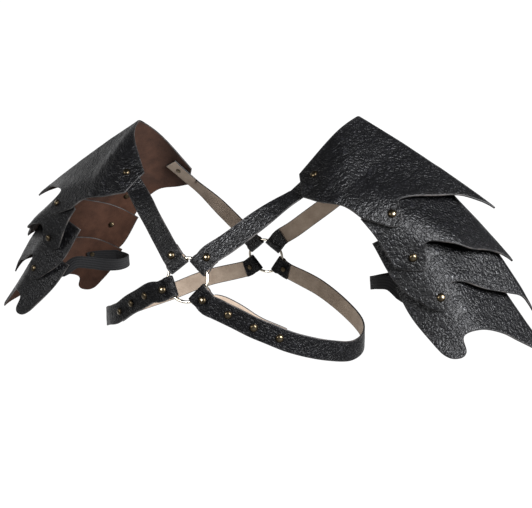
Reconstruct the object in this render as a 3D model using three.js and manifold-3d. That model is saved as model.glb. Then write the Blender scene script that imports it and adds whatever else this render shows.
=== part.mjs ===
// Pair of leather pauldrons: a shoulder plate and three pointed lames a side, on straps between two rings.
// Millimetres and degrees. +Z is up, the wearer faces -Y and has the left arm at +X.
// x = 0 is the wearer's mid-plane and z = 0 is the level of the shoulder tops.

import * as THREE from 'three';
import { mergeVertices } from 'three/addons/utils/BufferGeometryUtils.js';
import Module from 'manifold-3d';

const wasm = await Module();
wasm.setup();

// Driving dimensions

const clearance = 0.3;
const plateThickness = 2.2;
const strapWidth = 23;
const strapThickness = 2;
const bandWidth = 15;
const bandThickness = 1.4;
const ringOuter = 50;
const ringWire = 3.4;
const capDiameter = 9;
const capHeight = 2.4;
const shankDiameter = 3;
const washerDiameter = 7;
const washerThickness = 0.8;
const roundSides = 10;
const ringSides = 10;
const ringSegments = 16;
const holeSides = 8;
const foldSlack = 0.6;
const tuckGap = 1.5;

// Half breadth and half depth of the chest at strap level, and how far its middle lies forward.
const chest = { halfBreadth: 159, halfDepth: 110, middleY: -7.6 };

// Where one shoulder's ridge begins, and how far the shoulder turns to the front.
const shoulder = { x: 144.3, y: 29, z: 59.5, turn: 5.2 };

const ringFront = { x: 0, y: -122.8, z: -114.5, lean: 13, facing: -1 };
const ringBack = { x: 0, y: 107.6, z: -122, lean: 13, facing: 1 };

// Plates, from the top one to the lowest. A ridge starts at (out, up) in the shoulder's frame and falls by
// `fall` degrees.
// sections: slope of the leather across the ridge, a row for each station along it. It starts at `roof`
// degrees beside the ridge and turns to `wall` degrees over `bend` millimetres from `bendAt`.
// front: the flat outline from the top corner down the front edge.
// hem: the flat outline on from there, round the tab and the scallop to the tip.

const plates = {
  shoulder_plate: {
    ridge: { out: 0, up: 0, fall: 32.6, length: 184.5, bow: 2.5 },
    sections: [
      { along: 0, roof: 24.9, wall: 60.4, bendAt: 11, bend: 69 },
      { along: 60, roof: 30.8, wall: 59.6, bendAt: 79, bend: 84 },
      { along: 120, roof: 23.8, wall: 64.2, bendAt: 66, bend: 51 },
    ],
    front: [
      { along: 0, across: 112 },
      { along: 24, across: 138 },
      { along: 47, across: 136.5 },
      { along: 70, across: 128 },
      { along: 93, across: 128 },
    ],
    hem: [
      { along: 93, across: 128 },
      { along: 109, across: 122 },
      { along: 122, across: 116 },
      { along: 127, across: 109 },
      { along: 122, across: 101 },
      { along: 108.5, across: 87 },
      { along: 111, across: 77 },
      { along: 132.5, across: 45 },
      { along: 150, across: 21 },
      { along: 168, across: 9 },
      { along: 184.5, across: 0 },
    ],
    rows: 5,
  },
  lame_1: {
    ridge: { out: 81.8, up: -57.8, fall: 46, length: 136, bow: 0.5 },
    sections: [
      { along: 0, roof: 28.4, wall: 76.4, bendAt: 79, bend: 65 },
      { along: 80, roof: 15.5, wall: 75, bendAt: 49, bend: 38 },
    ],
    front: [
      { along: 6, across: 124 },
      { along: 30, across: 125.5 },
      { along: 65, across: 130.5 },
    ],
    hem: [
      { along: 65, across: 130.5 },
      { along: 72.5, across: 125 },
      { along: 80, across: 117 },
      { along: 86.5, across: 107 },
      { along: 82, across: 101.5 },
      { along: 66.5, across: 90 },
      { along: 79, across: 72.5 },
      { along: 99, across: 52 },
      { along: 109, across: 31.5 },
      { along: 120, across: 14.5 },
      { along: 136, across: 0 },
    ],
    rows: 4,
  },
  lame_2: {
    ridge: { out: 118.9, up: -99.7, fall: 53.2, length: 135, bow: 4.4 },
    sections: [
      { along: 0, roof: 31.3, wall: 82, bendAt: 57, bend: 59 },
      { along: 80, roof: 31.3, wall: 79, bendAt: 57, bend: 58 },
    ],
    front: [
      { along: -16, across: 122 },
      { along: 34.5, across: 124.5 },
      { along: 71, across: 111.5 },
    ],
    hem: [
      { along: 71, across: 111.5 },
      { along: 78, across: 106 },
      { along: 82, across: 98 },
      { along: 73, across: 85.5 },
      { along: 62.5, across: 77.5 },
      { along: 67.5, across: 63.5 },
      { along: 88.5, across: 42 },
      { along: 105, across: 20.5 },
      { along: 116, across: 7 },
      { along: 135, across: 0 },
    ],
    rows: 4,
  },
  lame_3: {
    ridge: { out: 147.5, up: -158.9, fall: 53.5, length: 124, bow: -0.8 },
    sections: [
      { along: 0, roof: 27, wall: 80, bendAt: 50, bend: 52 },
      { along: 80, roof: 27, wall: 54.5, bendAt: 50, bend: 46.5 },
    ],
    front: [
      { along: -29, across: 118 },
      { along: 5.5, across: 120.5 },
      { along: 43.5, across: 117 },
    ],
    hem: [
      { along: 43.5, across: 117 },
      { along: 54, across: 115 },
      { along: 62, across: 110 },
      { along: 66.5, across: 100 },
      { along: 64, across: 94 },
      { along: 50, across: 87 },
      { along: 54, across: 67 },
      { along: 70.5, across: 43 },
      { along: 86, across: 30 },
      { along: 100, across: 18.5 },
      { along: 124, across: 0 },
    ],
    rows: 4,
  },
};

// Rivets through the plates: the place on the outermost plate and the pieces each one joins.
const plateRivets = [
  { name: 'strap_rivet', along: 17, across: 108.5, through: ['shoulder_plate', 'upper_strap'] },
  { name: 'tab_rivet_1', along: 112.8, across: 105.3, through: ['shoulder_plate', 'lame_1'] },
  { name: 'tab_rivet_2', along: 68.8, across: 109.3, through: ['lame_1', 'lame_2'] },
  { name: 'tab_rivet_3', along: 68.9, across: 94.6, through: ['lame_2', 'lame_3', 'arm_strap'] },
];

const ridgeRounding = 8;
const profileStep = 2;
const hemStep = 22;

// Upper straps run from a ring to a corner of the shoulder plate. `way` is the middle of the strap
// between them for the left shoulder, `tuck` its way on under the plate as flat leather.
const upperStraps = {
  front: {
    ring: ringFront,
    turn: 50,
    way: [
      { x: 38, y: -105.2, z: -76.2 },
      { x: 62, y: -87, z: -55.6 },
      { x: 84, y: -69.4, z: -37 },
    ],
    tuck: [
      { along: 12, across: -134 },
      { along: 13.5, across: -126 },
      { along: 17, across: -108.5 },
      { along: 20, across: -94 },
    ],
  },
  back: {
    ring: ringBack,
    turn: 50,
    way: [
      { x: 38, y: 109.5, z: -85 },
      { x: 62, y: 115.5, z: -66.5 },
      { x: 84, y: 120, z: -49.8 },
      { x: 102, y: 122, z: -36.2 },
    ],
    tuck: [
      { along: 12, across: 134 },
      { along: 13.5, across: 126 },
      { along: 17, across: 108.5 },
      { along: 20, across: 94 },
    ],
  },
};

// Side straps run round the chest. Each row of `way` is a turn round the chest's middle, from the
// front (0) to the back (180), and the height of the strap's middle there.
const sideStraps = {
  left: {
    frontTurn: -43,
    backTurn: -35,
    tailShift: -4.5,
    way: [
      { turn: 12, z: -142.5 },
      { turn: 19, z: -152.5 },
      { turn: 25, z: -161.5 },
      { turn: 32, z: -170 },
      { turn: 40, z: -179 },
      { turn: 50, z: -187 },
      { turn: 60, z: -193 },
      { turn: 75, z: -199 },
      { turn: 91, z: -197 },
      { turn: 110, z: -190 },
      { turn: 130, z: -177 },
      { turn: 150, z: -157 },
    ],
  },
  right: {
    frontTurn: -25,
    backTurn: -35,
    tailShift: 0,
    way: [
      { turn: 15, z: -131 },
      { turn: 22, z: -141 },
      { turn: 31, z: -152 },
      { turn: 43, z: -168 },
      { turn: 54, z: -175 },
      { turn: 70, z: -184 },
      { turn: 90, z: -187 },
      { turn: 110, z: -183 },
      { turn: 130, z: -173 },
      { turn: 150, z: -155 },
    ],
  },
};

// How far a side strap stands off the chest beside the front ring, and the turns where that fades out.
const ringLift = { off: 9, from: 6, to: 36 };

// Reach from a ring's centre: the fold's turn, the end of the pocket for the wire, the start of the
// plain strap, and the rivets. The tails that come back behind the straps end after the last rivet.
const foldReach = 20;
const pocketReach = 24.2;
const strapReach = 27.2;
const ringRivetReach = 32.5;
const snapReach = 29.5;
const shortTail = 13;
const snapSpacing = 30;
const snapCount = 4;
const longTail = 100;

// A tail drawn to one side of its strap reaches its full shift at `tailOut` from the strap's start and
// slips back behind the strap between the reaches `tailBack`, to `tailRest` of the shift.
const tailOut = 25;
const tailBack = { from: 30, to: 75 };
const tailRest = 0.2;

// Share of an upper strap's way at which its twist towards the plate begins.
const twistStart = 0.5;

// The arm strap's middle. `tuck` runs under the lowest plate as flat leather, from the strap's end to
// the plate's edge, and the other end mirrors it. `way` goes round the arm from the front to the back.
const armBand = {
  tuck: [
    { along: 12.5, across: -80.5 },
    { along: 6.2, across: -88 },
    { along: -2, across: -97.5 },
    { along: -10, across: -107 },
    { along: -18, across: -116 },
  ],
  way: [
    { out: 61, side: -67, up: -179 },
    { out: 45, side: -60, up: -180 },
    { out: 33.5, side: -46, up: -184 },
    { out: 28.5, side: -20, up: -188 },
    { out: 31, side: 8, up: -190 },
    { out: 40, side: 36, up: -191 },
    { out: 56, side: 60, up: -192 },
  ],
  middle: { out: 75, side: -4 },
};
const stationSpacing = 22;

const radians = THREE.MathUtils.degToRad;
const vec = (x, y, z) => new THREE.Vector3(x, y, z);
const vec2 = (x, y) => new THREE.Vector2(x, y);
const smooth = (value) => THREE.MathUtils.smoothstep(value, 0, 1);
const mix = THREE.MathUtils.lerp;

// Surface of a folded plate

function sectionAt(plate, along) {
  const rows = plate.sections;
  let row = 0;
  while (row < rows.length - 2 && along > rows[row + 1].along) row += 1;
  const near = rows[row];
  const far = rows[row + 1];
  const share = Math.max(-0.3, Math.min(1, (along - near.along) / (far.along - near.along)));
  const blend = (key) => mix(near[key], far[key], share);
  return { roof: blend('roof'), wall: blend('wall'), bendAt: blend('bendAt'), bend: blend('bend') };
}

// Sideways and downward reach of the leather at a distance across it from the ridge.
function acrossRidge(section, across) {
  const steps = Math.max(1, Math.ceil(Math.abs(across) / profileStep));
  const step = Math.abs(across) / steps;
  let side = 0;
  let drop = 0;
  for (let index = 0; index < steps; index += 1) {
    const place = (index + 0.5) * step;
    const roof = section.roof * Math.min(1, place / ridgeRounding);
    const turn = (section.wall - section.roof) * smooth((place - section.bendAt) / section.bend);
    side += Math.cos(radians(roof + turn)) * step;
    drop += Math.sin(radians(roof + turn)) * step;
  }
  return { side: side * Math.sign(across), drop };
}

function platePoint(plate, along, across) {
  const ridge = plate.ridge;
  const { side, drop } = acrossRidge(sectionAt(plate, along), across);
  const share = along / ridge.length;
  const rise = 4 * ridge.bow * share * (1 - share) * (1 - smooth(Math.abs(across) / 60)) - drop;
  const slope = radians(ridge.fall);
  return vec(
    ridge.out + along * Math.cos(slope) + rise * Math.sin(slope),
    side,
    ridge.up - along * Math.sin(slope) + rise * Math.cos(slope),
  );
}

function plateNormal(plate, along, across) {
  const step = 1;
  const lengthwise = platePoint(plate, along + step, across).sub(platePoint(plate, along - step, across));
  const crosswise = platePoint(plate, along, across + step).sub(platePoint(plate, along, across - step));
  return lengthwise.cross(crosswise).normalize();
}

// Flat outlines

function pointAlong(points, share) {
  const lengths = [0];
  for (let index = 1; index < points.length; index += 1) {
    lengths.push(lengths[index - 1] + points[index].distanceTo(points[index - 1]));
  }
  const goal = share * lengths[lengths.length - 1];
  let index = 1;
  while (index < points.length - 1 && lengths[index] < goal) index += 1;
  const part = (goal - lengths[index - 1]) / (lengths[index] - lengths[index - 1]);
  return points[index - 1].clone().lerp(points[index], part);
}

// The hem from the tip to the front edge, with long stretches divided.
function hemPoints(plate) {
  const corners = plate.hem.map((row) => vec2(row.along, row.across)).reverse();
  const points = [corners[0]];
  for (let index = 1; index < corners.length; index += 1) {
    const parts = Math.max(1, Math.round(corners[index].distanceTo(corners[index - 1]) / hemStep));
    for (let part = 1; part <= parts; part += 1) {
      points.push(corners[index - 1].clone().lerp(corners[index], part / parts));
    }
  }
  return points;
}

// Half of the flat plate as columns of points from the ridge to the front edge, each from top to hem.
function flatHalf(plate) {
  const bottom = hemPoints(plate);
  const front = plate.front.map((row) => vec2(row.along, row.across));
  const tip = bottom[0];
  const foot = bottom[bottom.length - 1];
  const head = front[0];
  return bottom.map((end) => {
    const share = end.y / foot.y;
    const start = head.clone().multiplyScalar(share);
    const column = [];
    for (let row = 0; row <= plate.rows; row += 1) {
      const down = row / plate.rows;
      const ridge = tip.clone().multiplyScalar(down);
      const edge = pointAlong(front, down);
      const ruled = start.clone().lerp(end, down).add(ridge.clone().lerp(edge, share));
      const corners = tip.clone().lerp(foot, share).multiplyScalar(down);
      corners.addScaledVector(head, share * (1 - down));
      column.push(ruled.sub(corners));
    }
    return column;
  });
}

// Closed sheets

// Closes a grid of outer and inner points into one solid.
function sheet(grid) {
  const columns = grid.length;
  const rows = grid[0].length;
  const positions = [];
  for (const side of ['outer', 'inner']) {
    for (const column of grid) {
      for (const cell of column) positions.push(...cell[side].toArray());
    }
  }
  const outer = (column, row) => column * rows + row;
  const inner = (column, row) => columns * rows + column * rows + row;
  const faces = [];
  const quad = (a, b, c, d) => faces.push(a, b, c, a, c, d);
  for (let column = 0; column < columns - 1; column += 1) {
    for (let row = 0; row < rows - 1; row += 1) {
      quad(outer(column, row), outer(column + 1, row), outer(column + 1, row + 1), outer(column, row + 1));
      quad(inner(column, row), inner(column, row + 1), inner(column + 1, row + 1), inner(column + 1, row));
    }
    const last = rows - 1;
    quad(outer(column, 0), inner(column, 0), inner(column + 1, 0), outer(column + 1, 0));
    quad(outer(column, last), outer(column + 1, last), inner(column + 1, last), inner(column, last));
  }
  for (let row = 0; row < rows - 1; row += 1) {
    const last = columns - 1;
    quad(outer(0, row), outer(0, row + 1), inner(0, row + 1), inner(0, row));
    quad(outer(last, row), inner(last, row), inner(last, row + 1), outer(last, row + 1));
  }
  const geometry = new THREE.BufferGeometry();
  geometry.setAttribute('position', new THREE.Float32BufferAttribute(positions, 3));
  geometry.setIndex(faces);
  return facingOut(geometry);
}

function facingOut(geometry) {
  const points = geometry.getAttribute('position');
  const faces = geometry.getIndex();
  const corner = (place) => new THREE.Vector3().fromBufferAttribute(points, faces.getX(place));
  let volume = 0;
  for (let face = 0; face < faces.count; face += 3) {
    volume += corner(face).dot(corner(face + 1).cross(corner(face + 2)));
  }
  if (volume < 0) flipFaces(geometry);
  return geometry;
}

function flipFaces(geometry) {
  const faces = geometry.getIndex();
  for (let face = 0; face < faces.count; face += 3) {
    const kept = faces.getX(face);
    faces.setX(face, faces.getX(face + 1));
    faces.setX(face + 1, kept);
  }
}

function mirrored(geometry) {
  const copy = geometry.clone();
  copy.scale(-1, 1, 1);
  flipFaces(copy);
  return copy;
}

function plateGeometry(plate) {
  const half = flatHalf(plate);
  const cellAt = (flat, side) => {
    const outer = platePoint(plate, flat.x, side * flat.y);
    const normal = plateNormal(plate, flat.x, side * flat.y);
    return { outer, inner: outer.clone().addScaledVector(normal, -plateThickness) };
  };
  const front = half.slice(1).reverse().map((column) => column.map((flat) => cellAt(flat, -1)));
  const back = half.map((column) => column.map((flat) => cellAt(flat, 1)));
  return sheet([...front, ...back]);
}

// Solids joined and cut

function toSolid(geometry) {
  const bare = geometry.clone();
  bare.deleteAttribute('normal');
  bare.deleteAttribute('uv');
  const merged = mergeVertices(bare, 1e-4);
  const vertProperties = new Float32Array(merged.getAttribute('position').array);
  const triVerts = new Uint32Array(merged.getIndex().array);
  return new wasm.Manifold(new wasm.Mesh({ numProp: 3, vertProperties, triVerts }));
}

function fromSolid(solid) {
  const mesh = solid.getMesh();
  const geometry = new THREE.BufferGeometry();
  geometry.setAttribute('position', new THREE.Float32BufferAttribute(mesh.vertProperties, 3));
  geometry.setIndex([...mesh.triVerts]);
  return geometry;
}

// Moves a shape drawn along +Y so that +Y points along an axis from a foot.
function standOn(foot, axis) {
  const turn = new THREE.Quaternion().setFromUnitVectors(vec(0, 1, 0), axis);
  return new THREE.Matrix4().compose(foot, turn, vec(1, 1, 1));
}

function drilled(geometry, holes) {
  let solid = toSolid(geometry);
  for (const hole of holes) {
    const radius = (shankDiameter / 2 + clearance) / Math.cos(Math.PI / holeSides);
    const length = hole.top - hole.bottom + 2;
    const drill = new THREE.CylinderGeometry(radius, radius, length, holeSides);
    const middle = hole.foot.clone().addScaledVector(hole.axis, (hole.top + hole.bottom) / 2);
    solid = solid.subtract(toSolid(drill.applyMatrix4(standOn(middle, hole.axis))));
  }
  return fromSolid(solid);
}

// Rivets

// A dome cap, a shank and a shallow cap behind the leather.
function rivetGeometry(rivet) {
  const seat = rivet.top + clearance;
  const back = rivet.bottom - clearance;
  const profile = [
    vec2(0, back - washerThickness),
    vec2(washerDiameter / 2, back),
    vec2(shankDiameter / 2, back),
    vec2(shankDiameter / 2, seat),
    vec2(capDiameter / 2, seat),
    vec2(capDiameter * 0.36, seat + capHeight * 0.7),
    vec2(0, seat + capHeight),
  ];
  return fromSolid(toSolid(new THREE.LatheGeometry(profile, roundSides)));
}

// The highest and lowest leather under a cap's rim, measured along the axis from the foot.
function stackAt(foot, axis, layers) {
  const above = 5;
  const deepest = 13;
  const turn = new THREE.Quaternion().setFromUnitVectors(vec(0, 1, 0), axis);
  const heights = [];
  const places = 16;
  for (let place = 0; place < 3 * places; place += 1) {
    const angle = (2 * Math.PI * place) / places;
    const radius = mix(shankDiameter, capDiameter, Math.floor(place / places) / 2) / 2;
    const rim = vec(Math.cos(angle), 0, Math.sin(angle)).multiplyScalar(radius);
    const start = foot.clone().add(rim.applyQuaternion(turn)).addScaledVector(axis, above);
    const ray = new THREE.Raycaster(start, axis.clone().negate(), 0, above + deepest);
    for (const layer of layers) {
      const probe = new THREE.Mesh(layer, new THREE.MeshBasicMaterial({ side: THREE.DoubleSide }));
      for (const hit of ray.intersectObject(probe)) heights.push(above - hit.distance);
    }
  }
  return { top: Math.max(...heights), bottom: Math.min(...heights) };
}

// Straps

// A strap through stations, each with its two edges in mid thickness and their normals.
function strapGeometry(stations, thickness) {
  const grid = [0, 1].map((lane) => stations.map((station) => {
    const middle = station.points[lane];
    const normal = station.normals[lane];
    return {
      outer: middle.clone().addScaledVector(normal, thickness / 2),
      inner: middle.clone().addScaledVector(normal, -thickness / 2),
    };
  }));
  return sheet(grid);
}

function flatStation(middle, normal, across, width) {
  const points = [-0.5, 0.5].map((share) => middle.clone().addScaledVector(across, share * width));
  return { points, normals: [normal, normal] };
}

const middleOf = (station) => station.points[0].clone().lerp(station.points[1], 0.5);

// A ring's middle and its own axes: `up` in its plane and `out` away from the body.
function ringFrame(ring) {
  const lean = radians(ring.lean);
  return {
    centre: vec(ring.x, ring.y, ring.z),
    side: vec(1, 0, 0),
    up: vec(0, -ring.facing * Math.sin(lean), Math.cos(lean)),
    out: vec(0, ring.facing * Math.cos(lean), Math.sin(lean)),
  };
}

const tight = (strapThickness + clearance) / 2;
const wide = (ringWire + strapThickness) / 2 + clearance + foldSlack;

// A strap's fold round a ring: places by reach from the ring's centre and height over its plane.
function foldAt(ring, turn) {
  const frame = ringFrame(ring);
  const angle = radians(turn);
  const reachWay = frame.side.clone().multiplyScalar(Math.cos(angle));
  reachWay.addScaledVector(frame.up, Math.sin(angle));
  const across = reachWay.clone().cross(frame.out);
  const place = (reach, height) => {
    const point = frame.centre.clone().addScaledVector(reachWay, reach);
    return point.addScaledVector(frame.out, height);
  };
  return { out: frame.out, across, reachWay, place };
}

// Stations from just behind the ring, round the wire and out again over it.
function foldStations(fold) {
  const rows = [{ reach: pocketReach, height: -wide, tilt: -90 }];
  for (let step = 0; step <= 4; step += 1) {
    const tilt = -90 - 45 * step;
    const reach = foldReach + wide * Math.cos(radians(tilt));
    rows.push({ reach, height: wide * Math.sin(radians(tilt)), tilt });
  }
  rows.push({ reach: pocketReach, height: wide, tilt: -270 });
  return rows.map((row) => {
    const normal = fold.reachWay.clone().multiplyScalar(Math.cos(radians(row.tilt)));
    normal.addScaledVector(fold.out, Math.sin(radians(row.tilt)));
    return flatStation(fold.place(row.reach, row.height), normal, fold.across, strapWidth);
  });
}

// Stations along a curve, with the strap's outward normal given for each point and share of the way.
function curveStations(curve, normalAt) {
  const length = curve.getLength();
  const count = Math.round(length / stationSpacing);
  const stations = [];
  for (let index = 0; index <= count; index += 1) {
    const share = index / count;
    const point = curve.getPointAt(share);
    const tangent = curve.getTangentAt(share);
    const normal = normalAt(point, share);
    normal.addScaledVector(tangent, -normal.dot(tangent)).normalize();
    stations.push({ reach: share * length, point, normal, across: tangent.cross(normal) });
  }
  return stations;
}

function tailDrift(shift, reach) {
  const slip = smooth((reach - tailBack.from) / (tailBack.to - tailBack.from));
  return shift * smooth(reach / tailOut) * (1 - (1 - tailRest) * slip);
}

// The layer behind a strap that comes back from its ring, from its free end to the ring.
function tailStations(main, length, shift) {
  const layer = main.filter((station) => station.reach <= length).map((station) => {
    const middle = station.point.clone().addScaledVector(station.normal, -2 * tight);
    middle.addScaledVector(station.across, tailDrift(shift, station.reach));
    return flatStation(middle, station.normal.clone().negate(), station.across, strapWidth);
  });
  return layer.reverse();
}

const flatMain = (main, width) => main.map((station) => (
  flatStation(station.point, station.normal, station.across, width)));

const turnedRound = (stations) => stations.map((station) => (
  { points: [...station.points].reverse(), normals: [...station.normals].reverse() })).reverse();

// The foot and outward axis of a rivet on a strap, at a length from the start of its curve.
function strapRivet(name, curve, normalAt, length, through) {
  const share = length / curve.getLength();
  const tangent = curve.getTangentAt(share);
  const axis = normalAt(curve.getPointAt(share), share);
  axis.addScaledVector(tangent, -axis.dot(tangent)).normalize();
  return { name, foot: curve.getPointAt(share), axis, through };
}

// Stations on the underside of a plate, twisted with it. Rows follow the strap's way.
function tuckStations(plate, rows, width, thickness) {
  const under = plateThickness + tuckGap + thickness / 2;
  return rows.map((row, index) => {
    const next = rows[Math.min(index + 1, rows.length - 1)];
    const last = rows[Math.max(index - 1, 0)];
    const way = vec2(next.along - last.along, next.across - last.across).normalize();
    const lanes = [-0.5, 0.5].map((share) => {
      const along = row.along + way.y * share * width;
      const across = row.across - way.x * share * width;
      const normal = plateNormal(plate, along, across);
      return { point: platePoint(plate, along, across).addScaledVector(normal, -under), normal };
    });
    return { points: lanes.map((lane) => lane.point), normals: lanes.map((lane) => lane.normal) };
  });
}

// The left half, on the wearer

const shoulderPlace = new THREE.Matrix4().compose(
  vec(shoulder.x, shoulder.y, shoulder.z),
  new THREE.Quaternion().setFromAxisAngle(vec(0, 0, 1), -radians(shoulder.turn)),
  vec(1, 1, 1),
);
const shoulderUndo = shoulderPlace.clone().invert();

function onWearer(station) {
  return {
    points: station.points.map((point) => point.clone().applyMatrix4(shoulderPlace)),
    normals: station.normals.map((normal) => normal.clone().transformDirection(shoulderPlace)),
  };
}

function upperStrap(route, end) {
  const fold = foldAt(route.ring, route.turn);
  const tuck = tuckStations(plates.shoulder_plate, route.tuck, strapWidth, strapThickness).map(onWearer);
  const curve = new THREE.CatmullRomCurve3([
    fold.place(strapReach, tight),
    fold.place(strapReach + 8, tight),
    ...route.way.map((row) => vec(row.x, row.y, row.z)),
    middleOf(tuck[0]),
  ], false, 'centripetal');
  const normalAt = (point, share) => {
    const twist = smooth((share - twistStart) / (1 - twistStart));
    return fold.out.clone().lerp(tuck[0].normals[0], twist);
  };
  const main = curveStations(curve, normalAt);
  const stations = [
    ...tailStations(main, shortTail, 0),
    ...foldStations(fold),
    ...flatMain(main.slice(0, -1), strapWidth),
    ...tuck,
  ];
  const piece = `upper_strap_${end}`;
  const rivetLength = ringRivetReach - strapReach;
  return {
    geometry: strapGeometry(stations, strapThickness),
    rivet: strapRivet(`ring_rivet_${end}`, curve, normalAt, rivetLength, [piece]),
  };
}

// The strap's way, level, at a turn from the front round the wearer's side. Next to the front ring it
// stands off the chest and comes down to it as it goes round.
function chestPoint(turn, z) {
  const angle = radians(turn);
  const lift = ringLift.off * (1 - smooth((turn - ringLift.from) / (ringLift.to - ringLift.from)));
  const off = strapThickness * 1.5 + clearance + lift;
  const x = (chest.halfBreadth + off) * Math.sin(angle);
  const y = chest.middleY - (chest.halfDepth + off) * Math.cos(angle);
  return vec(x, y, z);
}

function chestNormal(point) {
  const x = point.x / chest.halfBreadth ** 2;
  const y = (point.y - chest.middleY) / chest.halfDepth ** 2;
  return vec(x, y, 0).normalize();
}

function sideStrap(route) {
  const front = foldAt(ringFront, route.frontTurn);
  const back = foldAt(ringBack, route.backTurn);
  const curve = new THREE.CatmullRomCurve3([
    front.place(strapReach, tight),
    front.place(strapReach + 8, tight),
    ...route.way.map((row) => chestPoint(row.turn, row.z)),
    back.place(strapReach + 8, tight),
    back.place(strapReach, tight),
  ], false, 'centripetal');
  const normalAt = (point, share) => {
    const normal = chestNormal(point);
    normal.lerp(front.out, 1 - smooth(share / 0.12));
    return normal.lerp(back.out, 1 - smooth((1 - share) / 0.12));
  };
  const main = curveStations(curve, normalAt);
  const length = curve.getLength();
  const reversed = main.map((station) => (
    { ...station, reach: length - station.reach, across: station.across.clone().negate() })).reverse();
  const stations = [
    ...tailStations(main, longTail, route.tailShift),
    ...foldStations(front),
    ...flatMain(main, strapWidth),
    ...turnedRound(foldStations(back)),
    ...turnedRound(tailStations(reversed, shortTail, 0)),
  ];
  const first = snapReach - strapReach;
  const rivets = [];
  for (let snap = 0; snap < snapCount; snap += 1) {
    rivets.push(strapRivet(`snap_${snap + 1}`, curve, normalAt, first + snap * snapSpacing, ['side_strap']));
  }
  rivets.push(strapRivet('side_rivet_back', curve, normalAt, length - first, ['side_strap']));
  return { geometry: strapGeometry(stations, strapThickness), rivets };
}

function armStrap() {
  const plate = plates.lame_3;
  const front = tuckStations(plate, armBand.tuck, bandWidth, bandThickness);
  const mirroredTuck = armBand.tuck.map((row) => ({ along: row.along, across: -row.across })).reverse();
  const back = tuckStations(plate, mirroredTuck, bandWidth, bandThickness);
  const entry = front[front.length - 1];
  const exit = back[0];
  const way = armBand.way.map((row) => vec(row.out, row.side, row.up));
  const curve = new THREE.CatmullRomCurve3(
    [middleOf(entry), ...way, middleOf(exit)], false, 'centripetal');
  const middle = vec(armBand.middle.out, armBand.middle.side, 0);
  const normalAt = (point, share) => {
    const away = point.clone().sub(middle).setZ(0).normalize();
    away.lerp(entry.normals[0], 1 - smooth(share / 0.3));
    return away.lerp(exit.normals[0], 1 - smooth((1 - share) / 0.3));
  };
  const free = curveStations(curve, normalAt).slice(1, -1);
  const stations = [...front, ...flatMain(free, bandWidth), ...back].map(onWearer);
  return strapGeometry(stations, bandThickness);
}

// Everything on one side, as the left one, with the places of its rivets.
function buildSide(route) {
  const pieces = {};
  for (const [name, plate] of Object.entries(plates)) {
    pieces[name] = plateGeometry(plate).applyMatrix4(shoulderPlace);
  }
  pieces.arm_strap = armStrap();
  const side = sideStrap(route);
  pieces.side_strap = side.geometry;
  const places = [...side.rivets];
  for (const end of ['front', 'back']) {
    const sign = end === 'front' ? -1 : 1;
    const strap = upperStrap(upperStraps[end], end);
    pieces[`upper_strap_${end}`] = strap.geometry;
    places.push(strap.rivet);
    for (const row of plateRivets) {
      const plate = plates[row.through[0]];
      const foot = platePoint(plate, row.along, sign * row.across).applyMatrix4(shoulderPlace);
      const normal = plateNormal(plate, row.along, sign * row.across);
      const axis = normal.transformDirection(shoulderPlace);
      const through = row.through.map((name) => (name === 'upper_strap' ? `${name}_${end}` : name));
      places.push({ name: `${row.name}_${end}`, foot, axis, through });
    }
  }
  const rivets = places.map((place) => (
    { ...place, ...stackAt(place.foot, place.axis, place.through.map((name) => pieces[name])) }));
  for (const name of Object.keys(pieces)) {
    pieces[name] = drilled(pieces[name], rivets.filter((rivet) => rivet.through.includes(name)));
  }
  return { pieces, rivets };
}

// Materials

const finish = (name, color, roughness, metalness) => (
  new THREE.MeshStandardMaterial({ name, color, roughness, metalness }));
const leatherFinish = () => finish('black leather', 0x18181b, 0.5, 0);
const brassFinish = () => finish('antique brass', 0x7d6238, 0.4, 1);
const wireFinish = () => finish('pale metal', 0xcfc6b2, 0.25, 1);
const bandFinish = () => finish('black elastic', 0x0e0e10, 0.9, 0);

// Assembly

const harness = new THREE.Group();

function addMesh(parent, name, geometry, material) {
  const mesh = new THREE.Mesh(geometry, material);
  mesh.name = name;
  parent.add(mesh);
  return mesh;
}

// `mirror` is 1 for the wearer's left side and -1 for the right.
function addSide(label, route, mirror) {
  const { pieces, rivets } = buildSide(route);
  const onShoulder = new THREE.Group();
  onShoulder.position.set(mirror * shoulder.x, shoulder.y, shoulder.z);
  onShoulder.rotation.z = -mirror * radians(shoulder.turn);
  harness.add(onShoulder);
  const asWorn = (geometry) => (mirror > 0 ? geometry : mirrored(geometry));
  for (const [name, geometry] of Object.entries(pieces)) {
    const material = name === 'arm_strap' ? bandFinish() : leatherFinish();
    if (name in plates || name === 'arm_strap') {
      addMesh(onShoulder, `${label}_${name}`, asWorn(geometry.applyMatrix4(shoulderUndo)), material);
    } else {
      addMesh(harness, `${label}_${name}`, asWorn(geometry), material);
    }
  }
  for (const rivet of rivets) {
    const mesh = addMesh(harness, `${label}_${rivet.name}`, rivetGeometry(rivet), brassFinish());
    const axis = vec(mirror * rivet.axis.x, rivet.axis.y, rivet.axis.z);
    mesh.position.set(mirror * rivet.foot.x, rivet.foot.y, rivet.foot.z);
    mesh.quaternion.setFromUnitVectors(vec(0, 1, 0), axis);
  }
}

function addRing(name, ring) {
  const radius = (ringOuter - ringWire) / 2;
  const geometry = new THREE.TorusGeometry(radius, ringWire / 2, ringSides, ringSegments);
  const mesh = addMesh(harness, name, fromSolid(toSolid(geometry)), wireFinish());
  mesh.position.set(ring.x, ring.y, ring.z);
  mesh.rotation.x = Math.PI / 2 + ring.facing * radians(ring.lean);
}

addRing('front_ring', ringFront);
addRing('back_ring', ringBack);
addSide('left', sideStraps.left, 1);
addSide('right', sideStraps.right, -1);

export default harness;
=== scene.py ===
"""Dressed model of a pair of leather pauldrons on a ringed harness, in millimetres until a mesh is made."""

import math

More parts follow.
